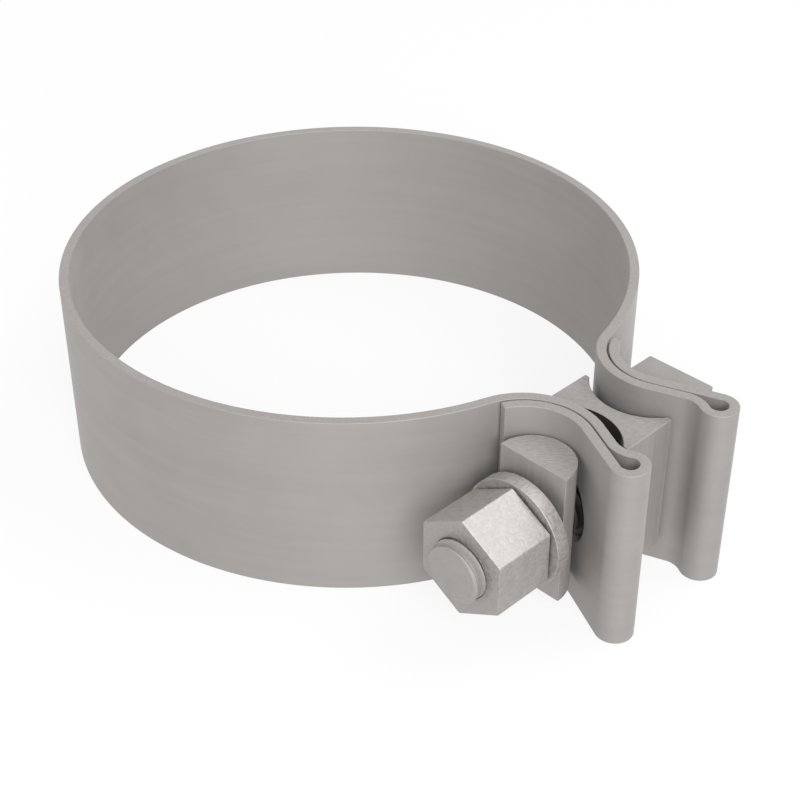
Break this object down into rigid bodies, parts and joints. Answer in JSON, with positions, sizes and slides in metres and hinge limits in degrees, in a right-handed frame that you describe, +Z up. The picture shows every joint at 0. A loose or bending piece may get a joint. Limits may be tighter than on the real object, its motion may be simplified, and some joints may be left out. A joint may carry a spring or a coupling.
{
  "type": "exhaust clamp",
  "caption": "Flat band clamp for an exhaust joint: a split strip ring with folded ears, drawn together by a T-bolt and nut over a half-round bar and a hollowed spacer.",
  "frame": {"origin": "on the ring's axis, in the plane of the band's lower edge", "axes": "+Z up along the pipe's axis, +X out through the split between the ears, +Y along the bolt from the nut to the head"},
  "size_m": [0.1155, 0.092, 0.0301],
  "materials": {
    "strip_steel": "rolled strip, satin",
    "bar_steel": "sawn ends, satin sides",
    "fastener_steel": "machined, fine brushed"
  },
  "bodies": {
    "band": {"band": "strip_steel"},
    "t_bolt": {"t_bolt": "bar_steel"},
    "washer": {"washer": "fastener_steel"},
    "nut": {"nut": "fastener_steel"},
    "half_round_bar": {"half_round_bar": "bar_steel"},
    "spacer_block": {"spacer_block": "bar_steel"}
  },
  "joints": [
    {"name": "bolt_slide", "type": "slide", "parent": "band", "child": "t_bolt", "axis": [0, 1, 0], "range_m": [0, 0.0009]},
    {"name": "washer_travel", "type": "slide", "parent": "t_bolt", "child": "washer", "axis": [0, -1, 0], "range_m": [0, 0.00953]},
    {"name": "nut_spin", "type": "hinge", "parent": "washer", "child": "nut", "pos_m": [0.0531, -0.025, 0.01505], "axis": [0, -1, 0], "range_deg": [0, 2160]},
    {"name": "bar_slide", "type": "slide", "parent": "band", "child": "half_round_bar", "axis": [0, 1, 0], "range_m": [-0.0004, 0.00025]},
    {"name": "spacer_slide", "type": "slide", "parent": "band", "child": "spacer_block", "axis": [0, 1, 0], "range_m": [-0.003, 0.00025]}
  ],
  "couplings": [
    {"joint": "nut_spin", "follows": "washer_travel", "rad_per_m": 3957.9}
  ]
}
